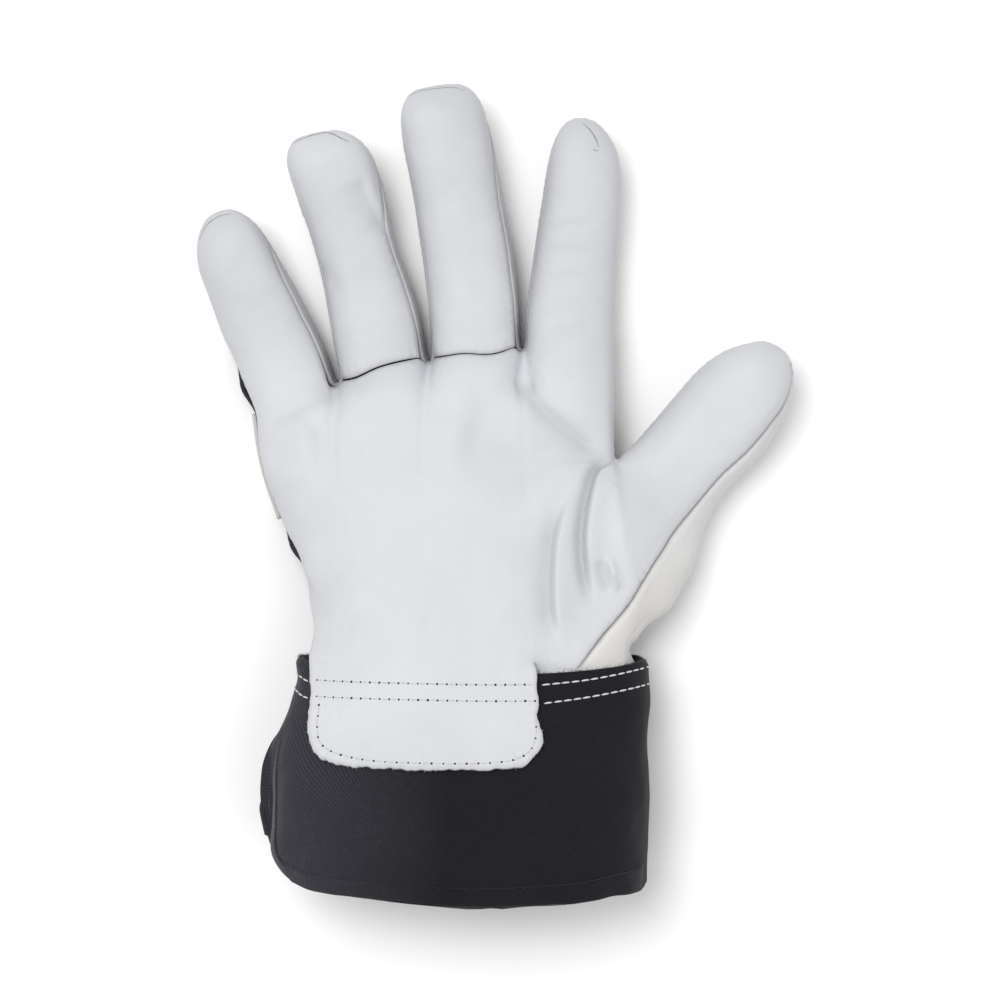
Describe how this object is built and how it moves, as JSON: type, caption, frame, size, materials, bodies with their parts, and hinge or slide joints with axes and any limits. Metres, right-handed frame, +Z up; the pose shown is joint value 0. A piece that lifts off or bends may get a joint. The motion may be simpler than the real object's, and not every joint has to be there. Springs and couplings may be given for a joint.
{
  "type": "rigger glove",
  "caption": "Right-hand rigger glove with a pale leather palm, sewn leather fingers and thumb, a black drill back and a flared black safety cuff.",
  "frame": {"origin": "centre of the bounding box on the surface the glove lies on, under its back", "axes": "+Y towards the fingertips, +X towards the thumb side, +Z up out of the palm"},
  "size_m": [0.1964, 0.2666, 0.0607],
  "materials": {
    "palm_leather": "smooth pale grey goatskin grain",
    "finger_leather": "smooth pale grey goatskin grain",
    "thumb_leather": "smooth warm white grain",
    "back_leather": "smooth off-white grain",
    "fourchette_leather": "smooth grey grain",
    "back_drill": "matt black cotton drill",
    "cuff_drill": "matt black rubberised cotton drill",
    "binding_tape": "matt black folded tape"
  },
  "bodies": {
    "root": {"palm": "palm_leather", "ring_front": "finger_leather", "middle_front": "finger_leather", "thumb_back": "thumb_leather", "index_back": "back_leather", "little_fingertip": "back_leather", "ring_fingertip": "back_leather", "middle_fingertip": "back_leather", "fourchette_little_ring": "fourchette_leather", "fourchette_ring_middle": "fourchette_leather", "fourchette_middle_index": "fourchette_leather", "back": "back_drill", "knuckle_strap": "back_leather", "cuff": "cuff_drill", "cuff_binding": "binding_tape"}
  },
  "joints": []
}
